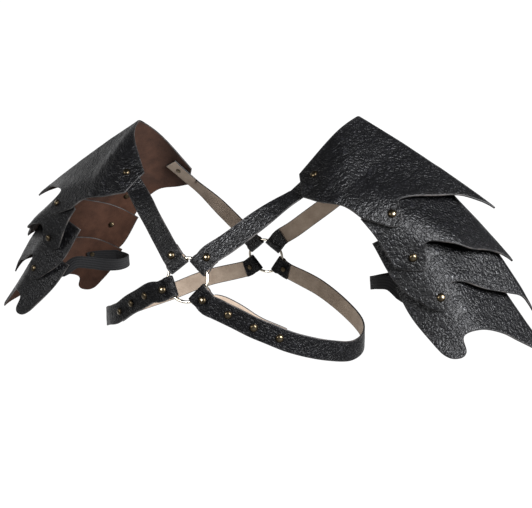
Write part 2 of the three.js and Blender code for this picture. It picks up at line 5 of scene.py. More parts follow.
import bpy
import numpy as np
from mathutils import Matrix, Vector


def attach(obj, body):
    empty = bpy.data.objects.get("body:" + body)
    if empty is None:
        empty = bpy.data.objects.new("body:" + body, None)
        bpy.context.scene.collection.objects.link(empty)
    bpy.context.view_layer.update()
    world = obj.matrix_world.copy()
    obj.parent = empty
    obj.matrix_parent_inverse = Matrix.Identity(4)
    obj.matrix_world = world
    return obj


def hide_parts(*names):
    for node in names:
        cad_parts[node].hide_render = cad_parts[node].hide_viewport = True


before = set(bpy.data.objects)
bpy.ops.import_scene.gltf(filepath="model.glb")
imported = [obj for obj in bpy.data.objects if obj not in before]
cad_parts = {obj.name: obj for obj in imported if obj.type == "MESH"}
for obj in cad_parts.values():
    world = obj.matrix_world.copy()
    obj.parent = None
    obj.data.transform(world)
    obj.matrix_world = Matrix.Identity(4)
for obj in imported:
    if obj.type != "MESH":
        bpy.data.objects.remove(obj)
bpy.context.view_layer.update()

# Driving sizes, the same as in the CAD part

PLATE = 2.2
STRAP_W = 23.0
STRAP_T = 2.0
BAND_W = 15.0
BAND_T = 1.4
RING_OUTER = 50.0
RING_WIRE = 3.4
CAP_D = 9.0
CAP_H = 2.4
SHANK_D = 3.0
WASHER_D = 7.0
WASHER_T = 0.8
CLEAR = 0.3
# Free height between a plate and the strap or band that is tucked under it.
TUCK_GAP = 1.5
# Distance from the ridge over which a plate bends from level to its roof slope.
RIDGE_ROUNDING = 8.0
# How far the first section runs on before its row, as a share of the way to the next.
SECTION_RUN_ON = -0.3
# Distance from the ridge at which its bow has died away.
BOW_REACH = 60
# The chest's level outline: half its width and depth, and the place of its middle on Y.
CHEST = dict(wide=159.0, deep=110.0, middle=-7.6)
# Extra distance of the side straps from it next to the front ring, and the degrees where it fades.
RING_LIFT = dict(off=9, start=6, over=30)
# The left shoulder's own axes on the wearer: their place, and their turn round Z in degrees.
SHOULDER = dict(at=(144.3, 29.0, 59.5), turn=5.2)
RING_FRONT = dict(at=(0, -122.8, -114.5), lean=13, facing=-1)
RING_BACK = dict(at=(0, 107.6, -122), lean=13, facing=1)
# Reach from a ring's centre along the strap: bend round the wire, pocket, plain strap, rivet, first stud.
FOLD = 20.0
POCKET = 24.2
STRAP_AT = 27.2
RING_RIVET = 32.5
SNAP = 29.5
SNAP_STEP = 30.0
SNAPS = 4
# The plain strap leaves its ring straight over this length.
LEAD = 8.0
SHORT_TAIL = 13.0
LONG_TAIL = 98.0
# A tail drifts sideways over the first length, then most of the way back.
DRIFT = dict(out=25, back_at=30, back_over=45, back=0.8)
# Half the distance between two layers of strap, closed together and open round the wire.
TIGHT = (STRAP_T + CLEAR) / 2
FOLD_SLACK = 0.6
WIDE = (RING_WIRE + STRAP_T) / 2 + CLEAR + FOLD_SLACK
# Share of an upper strap's length after which it turns from its ring's face to the plate's.
TWIST_START = 0.5
# Shares of the length over which a side strap and the arm band ease into the faces at their ends.
SIDE_EASE = 0.12
ARM_EASE = 0.3

# Each plate: the ridge is out, up, fall in degrees, length and bow. A section is its place along the ridge,
# the slopes of roof and wall in degrees, and the start and length of the bend between them. The edges of
# the flat pattern are (along, across), and cells is the mesh of one half.
PLATES = {
    "shoulder_plate": dict(
        ridge=(0, 0, 32.6, 184.5, 2.5),
        sections=[(0, 24.9, 60.4, 11, 69), (60, 30.8, 59.6, 79, 84), (120, 23.8, 64.2, 66, 51)],
        front=[(0, 112), (24, 138), (47, 136.5), (70, 128), (93, 128)],
        corners=(1,),
        hem=[(93, 128), (109, 122), (122, 116), (127, 109), (122, 101), (108.5, 87), (111, 77),
             (132.5, 45), (150, 21), (168, 9), (184.5, 0)],
        cells=(70, 62),
    ),
    "lame_1": dict(
        ridge=(81.8, -57.8, 46, 136, 0.5),
        sections=[(0, 28.4, 76.4, 79, 65), (80, 15.5, 75, 49, 38)],
        front=[(6, 124), (30, 125.5), (65, 130.5)],
        hem=[(65, 130.5), (72.5, 125), (80, 117), (86.5, 107), (82, 101.5), (66.5, 90), (79, 72.5),
             (99, 52), (109, 31.5), (120, 14.5), (136, 0)],
        cells=(64, 52),
    ),
    "lame_2": dict(
        ridge=(118.9, -99.7, 53.2, 135, 4.4),
        sections=[(0, 31.3, 82, 57, 59), (80, 31.3, 79, 57, 58)],
        front=[(-16, 122), (34.5, 124.5), (71, 111.5)],
        hem=[(71, 111.5), (78, 106), (82, 98), (73, 85.5), (62.5, 77.5), (67.5, 63.5), (88.5, 42),
             (105, 20.5), (116, 7), (135, 0)],
        cells=(64, 52),
    ),
    "lame_3": dict(
        ridge=(147.5, -158.9, 53.5, 124, -0.8),
        sections=[(0, 27, 80, 50, 52), (80, 27, 54.5, 50, 46.5)],
        front=[(-29, 118), (5.5, 120.5), (43.5, 117)],
        hem=[(43.5, 117), (54, 115), (62, 110), (66.5, 100), (64, 94), (50, 87), (54, 67), (70.5, 43),
             (86, 30), (100, 18.5), (124, 0)],
        cells=(64, 52),
    ),
}

# Rivets through the plates: name, outermost plate, and the place along and across it.
PLATE_RIVETS = [
    ("strap_rivet", "shoulder_plate", 17, 108.5),
    ("tab_rivet_1", "shoulder_plate", 112.8, 105.3),
    ("tab_rivet_2", "lame_1", 68.8, 109.3),
    ("tab_rivet_3", "lame_2", 68.9, 94.6),
]

# An upper strap: its ring, its turn there in degrees, its way in space, and its rows under the plate.
UPPER = {
    "front": dict(
        ring=RING_FRONT, turn=50,
        way=[(38, -105.2, -76.2), (62, -87, -55.6), (84, -69.4, -37)],
        tuck=[(12, -134), (13.5, -126), (17, -108.5), (20, -94)],
    ),
    "back": dict(
        ring=RING_BACK, turn=50,
        way=[(38, 109.5, -85), (62, 115.5, -66.5), (84, 120, -49.8), (102, 122, -36.2)],
        tuck=[(12, 134), (13.5, 126), (17, 108.5), (20, 94)],
    ),
}

# A side strap: its turns at the rings, the drift of its tail, and its way as degrees round the chest and z.
SIDES = {
    "left": dict(
        front_turn=-43, back_turn=-35, shift=-4.5,
        way=[(12, -142.5), (19, -152.5), (25, -161.5), (32, -170), (40, -179), (50, -187), (60, -193),
             (75, -199), (91, -197), (110, -190), (130, -177), (150, -157)],
    ),
    "right": dict(
        front_turn=-25, back_turn=-35, shift=0,
        way=[(15, -131), (22, -141), (31, -152), (43, -168), (54, -175), (70, -184), (90, -187),
             (110, -183), (130, -173), (150, -155)],
    ),
}

# The arm band: its rows under lame 3, its way round the arm and the arm's middle, in the shoulder's axes.
ARM = dict(
    tuck=[(12.5, -80.5), (6.2, -88), (-2, -97.5), (-10, -107), (-18, -116)],
    way=[(61, -67, -179), (45, -60, -180), (33.5, -46, -184), (28.5, -20, -188), (31, 8, -190),
         (40, 36, -191), (56, 60, -192)],
    middle=(75, -4, 0),
)

# Seeds of the smooth noise that bends the leather. Each next plate adds a step.
SEEDS = {
    "left": dict(plates=11, side=3, upper=7),
    "right": dict(plates=111, side=5, upper=11),
}
PLATE_SEED_STEP = 7

# Small maths


def unit(v):
    v = np.asarray(v, float)
    return v / np.maximum(np.linalg.norm(v, axis=-1, keepdims=True), 1e-12)


def square_to(v, axis):
    """The direction nearest to v at right angles to a unit axis."""
    return unit(v - axis * (v @ axis))


def smooth(x):
    x = np.clip(x, 0.0, 1.0)
    return x * x * (3 - 2 * x)


def blend(a, b, share):
    return a + (b - a) * share


def distances(path):
    """The distance gone at each point of a polyline."""
    return np.concatenate([[0], np.cumsum(np.linalg.norm(np.diff(path, axis=0), axis=1))])


def at_distances(path, gone, wanted):
    return np.stack([np.interp(wanted, gone, path[:, k]) for k in range(path.shape[1])], -1)


def knot_step(a, b):
    return max(np.linalg.norm(b - a), 1e-4) ** 0.5


class Curve:
    """A centripetal Catmull-Rom curve with places measured along it."""

    def __init__(self, points, fine=400):
        p = np.asarray(points, float)
        ext = np.vstack([2 * p[0] - p[1], p, 2 * p[-1] - p[-2]])
        rows = [p[:1]]
        t = np.linspace(0, 1, fine)[1:, None]
        for k in range(len(p) - 1):
            x0, x1, x2, x3 = ext[k:k + 4]
            d0, d1, d2 = knot_step(x0, x1), knot_step(x1, x2), knot_step(x2, x3)
            m1 = ((x1 - x0) / d0 - (x2 - x0) / (d0 + d1) + (x2 - x1) / d1) * d1
            m2 = ((x2 - x1) / d1 - (x3 - x1) / (d1 + d2) + (x3 - x2) / d2) * d1
            c2 = -3 * x1 + 3 * x2 - 2 * m1 - m2
            c3 = 2 * x1 - 2 * x2 + m1 + m2
            rows.append(x1 + m1 * t + c2 * t ** 2 + c3 * t ** 3)
        self.p = np.vstack(rows)
        self.s = distances(self.p)
        self.length = self.s[-1]

    def at(self, s):
        return at_distances(self.p, self.s, s)

    def even(self, spacing, least):
        """Distances at about this spacing from end to end, in no fewer steps than the least."""
        count = max(least, int(round(self.length / spacing)))
        return np.linspace(0, self.length, count + 1)

    def tangent(self, s, reach=0.4):
        ahead = self.at(np.clip(s + reach, 0, self.length))
        return unit(ahead - self.at(np.clip(s - reach, 0, self.length)))


def resample(points, spacing, corners=()):
    """A polyline at about this spacing on the curve through the points, which is cut at sharp corners."""
    stops = [0, *corners, len(points) - 1]
    parts = []
    for a, b in zip(stops[:-1], stops[1:]):
        curve = Curve(points[a:b + 1])
        place = curve.at(curve.even(spacing, 2))
        parts.append(place if a == 0 else place[1:])
    return np.vstack(parts)


def noise2(p, scale, seed):
    """Smooth seeded value noise on flat places, between -1 and 1."""
    q = np.asarray(p, float) / scale + seed * 17.31
    cell = np.floor(q).astype(np.int64)
    f = q - cell
    f = f * f * f * (f * (f * 6 - 15) + 10)

    def grid(i, j):
        """A hashed value for a corner of the grid."""
        h = (i * 374761393 + j * 668265263 + seed * 1442695041) & 0xFFFFFFFF
        h = ((h ^ (h >> 13)) * 1274126177) & 0xFFFFFFFF
        return ((h ^ (h >> 16)) & 0xFFFF) / 32767.5 - 1

    i, j = cell[..., 0], cell[..., 1]
    u, v = f[..., 0], f[..., 1]
    near = grid(i, j) * (1 - u) + grid(i + 1, j) * u
    far = grid(i, j + 1) * (1 - u) + grid(i + 1, j + 1) * u
    return near * (1 - v) + far * v


# Plate surface


def section_at(plate, along):
    """Roof slope, wall slope, start of the bend and its length at places along the ridge."""
    rows = plate["sections"]
    along = np.asarray(along, float)
    out = np.zeros(along.shape + (4,))
    for k in range(len(rows) - 1):
        near, far = np.array(rows[k], float), np.array(rows[k + 1], float)
        share = np.clip((along - near[0]) / (far[0] - near[0]), SECTION_RUN_ON, 1.0)[..., None]
        value = near[1:] + (far[1:] - near[1:]) * share
        here = along > rows[k][0] if k else np.ones(along.shape, bool)
        out[here] = value[here]
    return out


def across_ridge(plate, along, across, cells=72):
    """Sideways and downward reach of the leather at a distance across it from the ridge."""
    section = section_at(plate, along)
    reach = np.abs(across)
    place = (np.arange(cells) + 0.5) / cells * reach[..., None]
    roof, wall, bend_at, bend = (section[..., k, None] for k in range(4))
    slope = roof * np.minimum(1, place / RIDGE_ROUNDING) + (wall - roof) * smooth((place - bend_at) / bend)
    step = reach / cells
    side = np.cos(np.radians(slope)).sum(-1) * step
    drop = np.sin(np.radians(slope)).sum(-1) * step
    return side * np.sign(across), drop


def plate_point(plate, along, across):
    """Places on the outer face in the shoulder's axes, from places on the flat pattern."""
    out, up, fall, length, bow = plate["ridge"]
    side, drop = across_ridge(plate, along, across)
    share = along / length
    rise = 4 * bow * share * (1 - share) * (1 - smooth(np.abs(across) / BOW_REACH)) - drop
    slope = math.radians(fall)
    return np.stack([
        out + along * math.cos(slope) + rise * math.sin(slope),
        side,
        up - along * math.sin(slope) + rise * math.cos(slope),
    ], -1)


def plate_normal(plate, along, across, h=1.0):
    a = plate_point(plate, along + h, across) - plate_point(plate, along - h, across)
    b = plate_point(plate, along, across + h) - plate_point(plate, along, across - h)
    return unit(np.cross(a, b))


def turn_on_wearer(v):
    """Directions in the shoulder's axes as directions on the wearer."""
    angle = -math.radians(SHOULDER["turn"])
    c, s = math.cos(angle), math.sin(angle)
    v = np.asarray(v, float)
    return np.stack([c * v[..., 0] - s * v[..., 1], s * v[..., 0] + c * v[..., 1], v[..., 2]], -1)


def on_wearer(points):
    """Places in the shoulder's axes as places on the wearer."""
    return turn_on_wearer(points) + SHOULDER["at"]


# Meshes

# Material places on a sheet or strap: the outer face, the inner face and the cut edge between them.
OUTER, INNER, CUT = 0, 1, 2


def outwards(points, faces, tested, normal):
    """The faces, all turned over where the tested one doesn't look along the normal."""
    a, b, c = (points[k] for k in faces[tested][:3])
    if np.cross(b - a, c - a) @ normal < 0:
        return [tuple(reversed(face)) for face in faces]
    return faces


def show(name, data):
    obj = bpy.data.objects.new(name, data)
    bpy.context.scene.collection.objects.link(obj)
    return obj


def new_piece(node, points, faces, mirror, materials, values, face_slot=None, uv=None):
    """A mesh that stands for a node, from millimetres, with named values on its points."""
    points = np.asarray(points, float) * (mirror, 1, 1)
    if mirror < 0:
        faces = [tuple(reversed(f)) for f in faces]
    name = f"dressed_{node}"
    mesh = bpy.data.meshes.new(name)
    mesh.from_pydata((points / 1000).tolist(), [], [tuple(map(int, f)) for f in faces])
    for material in materials:
        mesh.materials.append(material)
    if face_slot is not None:
        mesh.polygons.foreach_set("material_index", np.asarray(face_slot, np.int32))
    mesh.polygons.foreach_set("use_smooth", np.ones(len(mesh.polygons), bool))
    if uv is not None:
        loop_vertex = np.zeros(len(mesh.loops), np.int32)
        mesh.loops.foreach_get("vertex_index", loop_vertex)
        flat = np.asarray(uv, float)[loop_vertex] / 1000
        mesh.uv_layers.new(name="UVMap").data.foreach_set("uv", flat.astype(np.float32).ravel())
    for key, value in values.items():
        mesh.attributes.new(key, "FLOAT", "POINT").data.foreach_set("value", np.asarray(value, np.float32))
    mesh.validate()
    mesh.update()
    piece = show(name, mesh)
    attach(piece, "root")
    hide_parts(node)
    return piece


# Plates

# A plate's rounded rim as (share of the thickness from the outer face, inset from the edge).
RIM = [(0.0, 0.9), (0.05, 0.42), (0.17, 0.12), (0.36, 0.0),
       (0.64, 0.0), (0.83, 0.12), (0.95, 0.42), (1.0, 0.9)]
# The inner face and the rim lie off the outer face on the flat pattern that the grain follows.
INNER_PLACE = (400, 0)
RIM_PLACE = 0.001
# Soft waves of the leather, broad and narrow: height, size and what the narrow ones add to the seed.
WAVE = dict(high=0.35, size=34, squeeze=(1.0, 0.8))
RIPPLE = dict(high=0.16, size=13, seed=3)
# A dent under each rivet, and puckers in a ring round it.
DENT = dict(deep=0.3, reach=5.5)
PUCKER = dict(high=0.22, at=11, reach=7.5, count=7)
# The leather's lift is cut off at these heights, and shrinks to a share of itself over the last cells.
LIFT_RANGE = (-0.6, 0.5)
LIFT_AT_EDGE = 0.35
LIFT_CELLS = 3
# Worn edges reach this many cells inwards, and the shade round a rivet this far.
WORN_CELLS = 1.2
SHADE_REACH = 9


def flat_half(plate):
    """Half of the flat pattern, ridge to front edge, as (along, across) for each column and row."""
    columns, rows = plate["cells"]
    hem = resample(plate["hem"][::-1], 1.0)
    front = resample(plate["front"], 1.0, plate.get("corners", ()))
    hem_gone, front_gone = distances(hem), distances(front)
    u = np.linspace(0, 1, columns + 1)
    v = np.linspace(0, 1, rows + 1)
    end = at_distances(hem, hem_gone, u * hem_gone[-1])[:, None]
    edge = at_distances(front, front_gone, v * front_gone[-1])[None]
    tip, foot, head = hem[0], hem[-1], front[0]
    share = np.clip(end[..., 1:] / foot[1], 0, 1)
    v = v[None, :, None]
    ruled = head * share * (1 - v) + end * v
    ruled = ruled + tip * v * (1 - share) + edge * share
    corner = (tip * (1 - share) + foot * share) * v
    corner = corner + head * share * (1 - v)
    return ruled - corner


def round_rivets(name, flat):
    """For each rivet of a plate, front and back: the distance and angle of every place from it."""
    for _, owner, a, c in PLATE_RIVETS:
        if owner == name:
            for sign in (-1, 1):
                along, across = flat[..., 0] - a, flat[..., 1] - sign * c
                yield np.hypot(along, across), np.arctan2(across, along)


def cells_to_border(n_col, n_row):
    col, row = np.arange(n_col), np.arange(n_row)
    return np.minimum(np.minimum(col, col[::-1])[:, None], np.minimum(row, row[::-1])[None])


def border_loop(n_col, n_row):
    """Columns and rows of the grid's border points, in order."""
    loop = [(c, 0) for c in range(n_col)]
    loop += [(n_col - 1, r) for r in range(1, n_row)]
    loop += [(c, n_row - 1) for c in range(n_col - 2, -1, -1)]
    loop += [(0, r) for r in range(n_row - 2, 0, -1)]
    return np.array(loop).T


def leather_lift(name, flat, seed):
    """Height of the leather over the plain surface: soft waves, and dents and puckers at each rivet."""
    lift = WAVE["high"] * noise2(flat * WAVE["squeeze"], WAVE["size"], seed)
    lift += RIPPLE["high"] * noise2(flat, RIPPLE["size"], seed + RIPPLE["seed"])
    for distance, angle in round_rivets(name, flat):
        ring = np.exp(-((distance - PUCKER["at"]) / PUCKER["reach"]) ** 2)
        lift += PUCKER["high"] * ring * np.cos(PUCKER["count"] * angle + seed)
        lift -= DENT["deep"] * np.exp(-(distance / DENT["reach"]) ** 2)
    inside = smooth(cells_to_border(*flat.shape[:2]) / LIFT_CELLS)
    return np.clip(lift * (LIFT_AT_EDGE + (1 - LIFT_AT_EDGE) * inside), *LIFT_RANGE)


def rimmed_sheet(flat, point, normal):
    """An outer and an inner face with a rounded rim between them: points, flat places, faces and slots."""
    n_col, n_row = flat.shape[:2]
    total = n_col * n_row
    middle = (n_col // 2, n_row // 2)
    ci, ri = border_loop(n_col, n_row)
    rim_at, rim_n = point[ci, ri], normal[ci, ri]
    away = unit(np.cross(np.roll(rim_at, -1, 0) - np.roll(rim_at, 1, 0), rim_n))
    if np.mean(np.sum(away * (rim_at - point[middle]), -1)) < 0:
        away = -away
    both = np.stack([point, point - normal * PLATE])
    both[:, ci, ri] -= away * RIM[0][1]
    verts = [both.reshape(-1, 3)]
    places = [flat.reshape(-1, 2), flat.reshape(-1, 2) + INNER_PLACE]
    rings = [ci * n_row + ri]
    for depth, inset in RIM[1:-1]:
        rings.append(2 * total + (len(rings) - 1) * len(ci) + np.arange(len(ci)))
        verts.append(rim_at - rim_n * PLATE * depth - away * inset)
        places.append(flat[ci, ri] + RIM_PLACE)
    rings.append(total + rings[0])
    grid = np.arange(total).reshape(n_col, n_row)
    a, b = grid[:-1, :-1].ravel(), grid[1:, :-1].ravel()
    c, d = grid[1:, 1:].ravel(), grid[:-1, 1:].ravel()
    faces = [*zip(a, b, c, d), *zip(a + total, d + total, c + total, b + total)]
    slots = [OUTER] * len(a) + [INNER] * len(a)
    for k, (near, far) in enumerate(zip(rings[:-1], rings[1:])):
        faces += zip(np.roll(near, -1), near, far, np.roll(far, -1))
        slots += [CUT if k else OUTER] * len(near)
    verts = np.vstack(verts)
    faces = outwards(verts, faces, middle[0] * (n_row - 1) + middle[1], normal[middle])
    return verts, np.vstack(places), faces, slots


def build_plate(side, name, mirror, seed):
    plate = PLATES[name]
    half = flat_half(plate)
    flat = np.concatenate([half[:0:-1] * (1, -1), half])
    along, across = flat[..., 0], flat[..., 1]
    normal = plate_normal(plate, along, across)
    point = plate_point(plate, along, across) + normal * leather_lift(name, flat, seed)[..., None]
    verts, places, faces, slots = rimmed_sheet(flat, on_wearer(point), turn_on_wearer(normal))
    total = along.size
    edge = np.ones(len(verts))
    edge[:2 * total] = np.tile(np.exp(-cells_to_border(*along.shape) / WORN_CELLS).ravel(), 2)
    # Painted shade round each rivet, kept as the shade value of the points.
    shade = np.zeros(len(verts))
    for distance, _ in round_rivets(name, flat):
        shade[:total] = np.maximum(shade[:total], np.exp(-(distance / SHADE_REACH) ** 2).ravel())
    new_piece(f"{side}_{name}", verts, faces, mirror, (leather, suede, cut_edge),
              {"edge": edge, "shade": shade}, slots, places)


# Straps and bands

SECTION_LANES = 9
# Radius of a strap's edges as a share of its thickness, and the places on them in degrees.
EDGE_RADIUS = 0.42
EDGE_PLACES = (60, 25, -25, -60)
FAR_EDGE_PLACES = (-120, -155, 155, 120)
EDGE_FULL = math.sin(math.radians(75))
# A leather strap's outer face is this much lower at its edges than in the middle.
CROWN = 0.12
# The end caps are drawn in to this share and stand this far out.
END_SHARE = 0.97
END_OUT = 0.35
# The inner face lies beside the outer one on the flat pattern.
FLESH_PLACE = (0, 60)
WORN_WIDTH = 0.9
# Waves and ripples of a strap's outer face: height, size and what the ripples add to the seed.
STRAP_WAVE = dict(high=0.14, size=11)
STRAP_RIPPLE = dict(high=0.08, size=5, seed=2)
FOLD_STEPS = 14


def strap_section(width, thickness, crown):
    """Rows of (across, out, face) round a strap: outer face, one edge, inner face, other edge."""
    radius = thickness * EDGE_RADIUS
    flat = width / 2 - radius
    lanes = np.linspace(-1, 1, SECTION_LANES)

    def edge(middle, places):
        for angle in map(math.radians, places):
            yield middle + radius * math.cos(angle), thickness / 2 * math.sin(angle) / EDGE_FULL, CUT

    rows = [(lane * flat, thickness / 2 - crown * lane ** 2, OUTER) for lane in lanes]
    rows += edge(flat, EDGE_PLACES)
    rows += [(lane * flat, -thickness / 2, INNER) for lane in lanes[::-1]]
    rows += edge(-flat, FAR_EDGE_PLACES)
    return np.array(rows)


def strap_lift(seed):
    def lift(gone, wide):
        flat = np.stack(np.broadcast_arrays(gone, wide), -1)
        waves = STRAP_WAVE["high"] * noise2(flat, STRAP_WAVE["size"], seed)
        ripples = noise2(flat, STRAP_RIPPLE["size"], seed + STRAP_RIPPLE["seed"])
        return waves + STRAP_RIPPLE["high"] * ripples
    return lift


def sweep(node, stations, width, thickness, mirror, materials, crown, lift=None):
    """A closed strap through stations of (middle, unit across, outer normal)."""
    section = strap_section(width, thickness, crown)
    wide, high, kind = section.T
    middle, across, normal = (np.array([s[k] for s in stations]) for k in range(3))
    gone = distances(middle)[:, None]
    m, k = len(stations), len(section)
    body = middle[:, None] + across[:, None] * wide[:, None] + normal[:, None] * high[:, None]
    if lift is not None:
        top = kind == OUTER
        body[:, top] += normal[:, None] * lift(gone, wide[top])[..., None]
    places = np.stack(np.broadcast_arrays(gone, wide), -1)
    places[:, kind == INNER] += FLESH_PLACE
    here = np.arange(k)
    beside = np.roll(here, -1)
    faces = []
    for start in range(0, (m - 1) * k, k):
        faces += zip(start + here, start + beside, start + k + beside, start + k + here)
    slots = [*np.where(kind == kind[beside], kind, CUT)] * (m - 1)
    caps = []
    for i, inward in ((0, 1), (m - 1, -1)):
        out = unit(middle[i] - middle[i + inward]) * END_OUT
        cap = (m + len(caps)) * k
        caps.append(blend(middle[i], body[i], END_SHARE) + out)
        closing = [*zip(i * k + here, cap + here, cap + beside, i * k + beside), tuple(cap + here)]
        faces += closing if inward > 0 else [tuple(reversed(face)) for face in closing]
        slots += [CUT] * len(closing)
    points = np.vstack([body.reshape(-1, 3), *caps])
    edge = np.ones(len(points))
    edge[:m * k] = np.tile(np.exp(-(width / 2 - np.abs(wide)) / WORN_WIDTH), m)
    faces = outwards(points, faces, SECTION_LANES // 2, normal[0])
    places = np.vstack([places.reshape(-1, 2), places[0], places[-1]])
    new_piece(node, points, faces, mirror, materials,
              {"edge": edge, "shade": np.zeros(len(points))}, slots, places)


def ring_axes(ring):
    """A ring's centre and its directions sideways, up in its own plane, and out from the wearer."""
    lean = math.radians(ring["lean"])
    f = ring["facing"]
    up = np.array([0, -f * math.sin(lean), math.cos(lean)])
    out = np.array([0, f * math.cos(lean), math.sin(lean)])
    return np.array(ring["at"], float), np.array([1.0, 0, 0]), up, out


class Fold:
    """The end of a strap that passes round a ring's wire."""

    def __init__(self, ring, turn):
        self.centre, side, up, self.out = ring_axes(ring)
        a = math.radians(turn)
        self.way = side * math.cos(a) + up * math.sin(a)
        self.across = np.cross(self.way, self.out)

    def place(self, reach, height):
        return self.centre + self.way * reach + self.out * height

    def lead(self):
        return [self.place(STRAP_AT, TIGHT), self.place(STRAP_AT + LEAD, TIGHT)]

    def stations(self):
        between = (POCKET + FOLD) / 2
        rows = [(POCKET, -WIDE, -90.0), (between, -WIDE, -90.0)]
        for k in range(FOLD_STEPS + 1):
            tilt = -90 - 180 * k / FOLD_STEPS
            a = math.radians(tilt)
            rows.append((FOLD + WIDE * math.cos(a), WIDE * math.sin(a), tilt))
        rows += [(between, WIDE, -270.0), (POCKET, WIDE, -270.0)]
        out = []
        for reach, height, tilt in rows:
            a = math.radians(tilt)
            normal = self.way * math.cos(a) + self.out * math.sin(a)
            out.append((self.place(reach, height), self.across, normal))
        return out


def along_curve(curve, normal_at, spacing=3.0):
    """Rows of (distance, middle, unit across, outer normal) along a curve."""
    out = []
    for s in curve.even(spacing, 2):
        p, t = curve.at(s), curve.tangent(s)
        n = square_to(normal_at(p, s / curve.length), t)
        out.append((s, p, unit(np.cross(t, n)), n))
    return out


def tail(main, length, shift):
    """The layer behind the first stretch of a strap, from its free end to the ring."""
    layer = []
    for s, p, a, n in main:
        if s <= length:
            back = DRIFT["back"] * smooth((s - DRIFT["back_at"]) / DRIFT["back_over"])
            drift = shift * smooth(s / DRIFT["out"]) * (1 - back)
            layer.append((p - n * 2 * TIGHT + a * drift, a, -n))
    return layer[::-1]


def eased(first, last, spacing=1.6):
    """Stations on a smooth step between two others, without those."""
    count = max(2, int(round(np.linalg.norm(last[0] - first[0]) / spacing)))
    out = []
    for t in np.arange(1, count) / count:
        w = smooth(t)
        turned = [unit(blend(a, b, w)) for a, b in zip(first[1:], last[1:])]
        out.append((blend(first[0], last[0], t), *turned))
    return out


def joined(*stretches):
    """Stretches of strap end to end, with eased stations in the short jumps between them."""
    out = list(stretches[0])
    for stretch in stretches[1:]:
        out += eased(out[-1], stretch[0]) + stretch
    return out


def tuck(plate, rows, width, thickness, spacing=2.5):
    """Stations of a strap under a plate, along rows of its flat pattern."""
    curve = Curve(rows)
    rows = curve.at(curve.even(spacing, 3))
    under = PLATE + TUCK_GAP + thickness / 2
    out = []
    for k, row in enumerate(rows):
        way = unit(rows[min(k + 1, len(rows) - 1)] - rows[max(k - 1, 0)])
        lanes = []
        for share in (-0.5, 0.5):
            along, across = row + np.array([way[1], -way[0]]) * share * width
            n = plate_normal(plate, along, across)
            lanes.append((plate_point(plate, along, across) - n * under, n))
        (near, near_n), (far, far_n) = lanes
        wide = unit(turn_on_wearer(far - near))
        out.append((on_wearer((near + far) / 2), wide, square_to(turn_on_wearer(near_n + far_n), wide)))
    return out


def upper_route(end):
    """Stations, curve and normals of an upper strap, from its short tail to the end under the plate."""
    route = UPPER[end]
    fold = Fold(route["ring"], route["turn"])
    under = tuck(PLATES["shoulder_plate"], route["tuck"], STRAP_W, STRAP_T)
    curve = Curve([*fold.lead(), *route["way"], under[0][0]])

    def normal_at(_, share):
        return blend(fold.out, under[0][2], smooth((share - TWIST_START) / (1 - TWIST_START)))

    main = along_curve(curve, normal_at)
    plain = [row[1:] for row in main]
    return joined(tail(main, SHORT_TAIL, 0), fold.stations(), plain)[:-1] + under, curve, normal_at


def chest_point(turn, z):
    """A place of a side strap's middle layer, with room for its tail between it and the chest."""
    a = math.radians(turn)
    lift = RING_LIFT["off"] * (1 - smooth((turn - RING_LIFT["start"]) / RING_LIFT["over"]))
    off = STRAP_T * 1.5 + CLEAR + lift
    return [(CHEST["wide"] + off) * math.sin(a), CHEST["middle"] - (CHEST["deep"] + off) * math.cos(a), z]


def chest_normal(p):
    return unit([p[0] / CHEST["wide"] ** 2, (p[1] - CHEST["middle"]) / CHEST["deep"] ** 2, 0])


def side_route(side):
    """Stations, curve and normals of a side strap, from its long tail in front to its short tail behind."""
    route = SIDES[side]
    front, back = Fold(RING_FRONT, route["front_turn"]), Fold(RING_BACK, route["back_turn"])
    round_chest = [chest_point(turn, z) for turn, z in route["way"]]
    curve = Curve([*front.lead(), *round_chest, *back.lead()[::-1]])

    def normal_at(p, share):
        n = blend(chest_normal(p), front.out, 1 - smooth(share / SIDE_EASE))
        return blend(n, back.out, 1 - smooth((1 - share) / SIDE_EASE))

    def turned(stations):
        return [(p, -a, n) for p, a, n in stations][::-1]

    main = along_curve(curve, normal_at)
    plain = [row[1:] for row in main]
    from_back = [(curve.length - s, p, -a, n) for s, p, a, n in main][::-1]
    stations = joined(tail(main, LONG_TAIL, route["shift"]), front.stations(), plain,
                      turned(back.stations()), turned(tail(from_back, SHORT_TAIL, 0)))
    return stations, curve, normal_at


def arm_route():
    """Stations of the arm band: under lame 3 in front, round the arm, and under it again behind."""
    plate = PLATES["lame_3"]
    front = tuck(plate, ARM["tuck"], BAND_W, BAND_T)
    back = tuck(plate, [(a, -c) for a, c in ARM["tuck"]][::-1], BAND_W, BAND_T)
    curve = Curve([front[-1][0], *on_wearer(ARM["way"]), back[0][0]])
    middle = on_wearer(ARM["middle"])

    def normal_at(p, share):
        away = unit((p - middle) * (1, 1, 0))
        away = blend(away, front[-1][2], 1 - smooth(share / ARM_EASE))
        return blend(away, back[0][2], 1 - smooth((1 - share) / ARM_EASE))

    free = [row[1:] for row in along_curve(curve, normal_at)][1:-1]
    if free[0][1] @ front[-1][1] < 0:
        free = [(p, -a, n) for p, a, n in free]
    return front + free + back


# Materials


